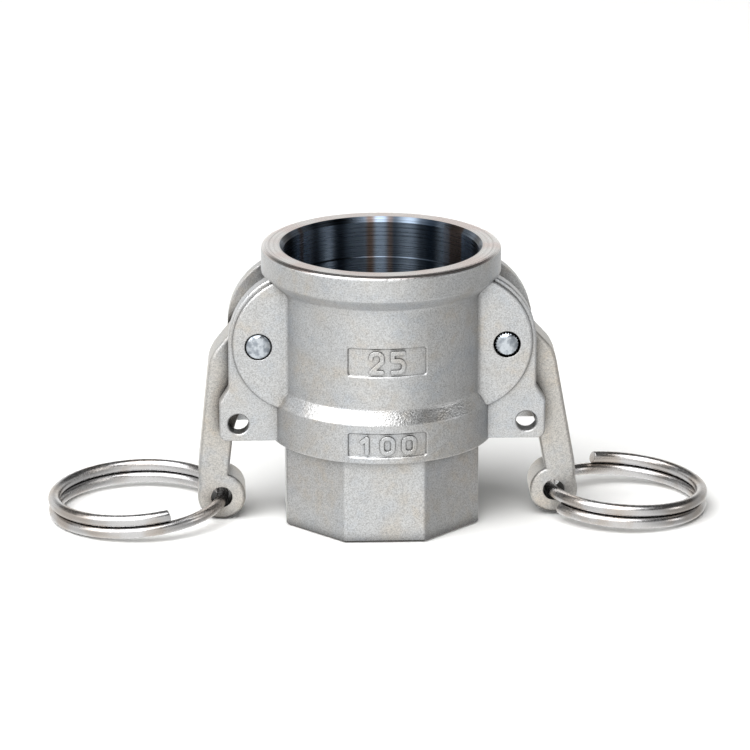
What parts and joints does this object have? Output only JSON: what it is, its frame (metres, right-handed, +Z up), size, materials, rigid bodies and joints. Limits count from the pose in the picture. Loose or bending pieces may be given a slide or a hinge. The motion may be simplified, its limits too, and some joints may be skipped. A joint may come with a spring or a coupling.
{
  "type": "camlock coupling",
  "caption": "Cast camlock hose coupler: a round socket with cam levers and pull rings, over a wrench octagon with a female pipe thread.",
  "frame": {"origin": "middle of the threaded end's face, on the waterway's axis", "axes": "+Z up the waterway towards the adapter socket; the levers stand at -X and +X; the two numbered panels face -Y"},
  "size_m": [0.1276, 0.0458, 0.0538],
  "materials": {
    "cast_stainless": "fine satin, bead-blasted investment casting with machined rim and bore",
    "pin_steel": "bright turned pin with worn ends",
    "ring_wire": "polished drawn wire",
    "seal_rubber": "matt black nitrile rubber"
  },
  "bodies": {
    "coupler": {"coupler_body": "cast_stainless", "gasket": "seal_rubber", "left_hinge_pin": "pin_steel", "right_hinge_pin": "pin_steel"},
    "left_lever": {"left_cam_lever": "cast_stainless"},
    "right_lever": {"right_cam_lever": "cast_stainless"},
    "left_ring": {"left_pull_ring": "ring_wire"},
    "right_ring": {"right_pull_ring": "ring_wire"}
  },
  "joints": [
    {"name": "left_lever_hinge", "type": "hinge", "parent": "coupler", "child": "left_lever", "pos_m": [-0.0236, 0, 0.0363], "axis": [0, 1, 0], "range_deg": [-12.8, 107.2]},
    {"name": "right_lever_hinge", "type": "hinge", "parent": "coupler", "child": "right_lever", "pos_m": [0.0236, 0, 0.0363], "axis": [0, -1, 0], "range_deg": [-17.2, 102.8]},
    {"name": "left_ring_swing", "type": "hinge", "parent": "left_lever", "child": "left_ring", "pos_m": [-0.0308, 0, 0.00461], "axis": [0, 1, 0], "range_deg": [-120, 55]},
    {"name": "right_ring_swing", "type": "hinge", "parent": "right_lever", "child": "right_ring", "pos_m": [0.03321, 0, 0.00525], "axis": [0, -1, 0], "range_deg": [-120, 55]}
  ]
}
